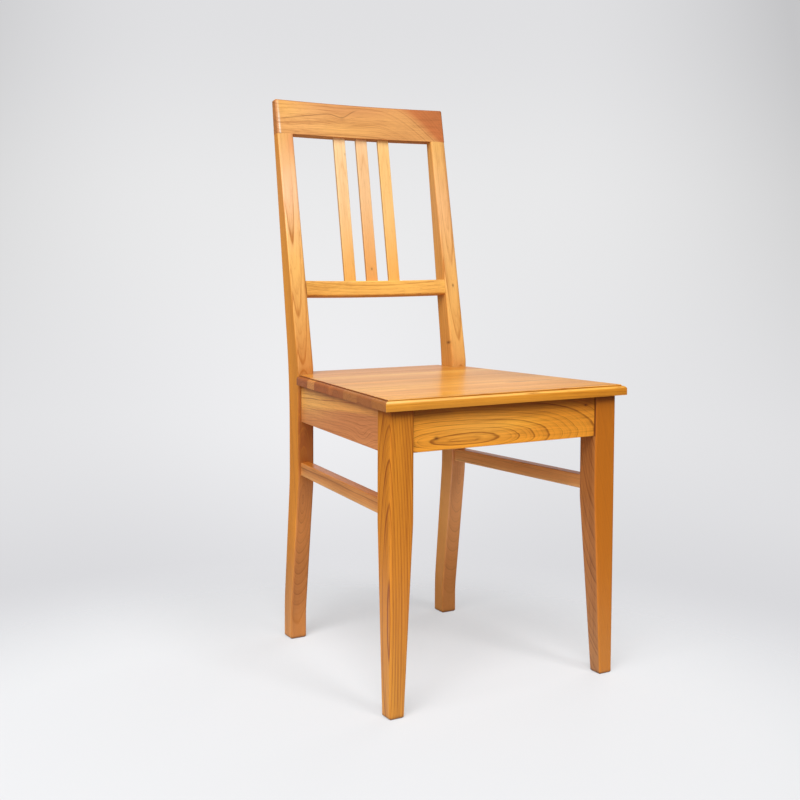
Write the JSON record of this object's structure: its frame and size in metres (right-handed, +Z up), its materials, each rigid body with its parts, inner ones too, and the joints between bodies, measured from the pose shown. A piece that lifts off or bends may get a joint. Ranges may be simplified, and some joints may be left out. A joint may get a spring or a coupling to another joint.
{
  "type": "wooden side chair",
  "caption": "Armless wooden dining chair: flat plank seat, tapered front legs, raked back with upright slats between a bowed crest rail and a lower rail, side stretchers.",
  "frame": {"origin": "on the floor, under the middle of the chair's outline", "axes": "+Z up, -Y the way a sitter faces, +X to the right when looking at the chair from its front"},
  "size_m": [0.4302, 0.482, 0.9172],
  "materials": {
    "leg_wood": "satin lacquer",
    "post_wood": "satin lacquer",
    "crest_wood": "satin lacquer",
    "rail_wood": "satin lacquer",
    "slat_wood": "satin lacquer",
    "apron_wood": "satin lacquer",
    "stretcher_wood": "satin lacquer",
    "seat_wood": "satin lacquer",
    "block_wood": "bare",
    "dowel_wood": "bare",
    "screw_steel": "zinc"
  },
  "bodies": {
    "root": {"back_rail": "rail_wood", "back_slat_centre": "slat_wood", "back_slat_left": "slat_wood", "back_slat_right": "slat_wood", "block_screws": "screw_steel", "crest_dowels": "dowel_wood", "crest_rail": "crest_wood", "front_apron": "apron_wood", "front_corner_block_left": "block_wood", "front_corner_block_right": "block_wood", "front_leg_left": "leg_wood", "front_leg_right": "leg_wood", "rear_apron": "apron_wood", "rear_corner_block_left": "block_wood", "rear_corner_block_right": "block_wood", "rear_leg_left": "post_wood", "rear_leg_right": "post_wood", "seat_screws": "screw_steel", "seat_stave_1": "seat_wood", "seat_stave_2": "seat_wood", "seat_stave_3": "seat_wood", "seat_stave_4": "seat_wood", "seat_stave_5": "seat_wood", "seat_stave_6": "seat_wood", "seat_stave_7": "seat_wood", "seat_stave_8": "seat_wood", "side_apron_left": "apron_wood", "side_apron_right": "apron_wood", "side_stretcher_left": "stretcher_wood", "side_stretcher_right": "stretcher_wood"}
  },
  "joints": []
}
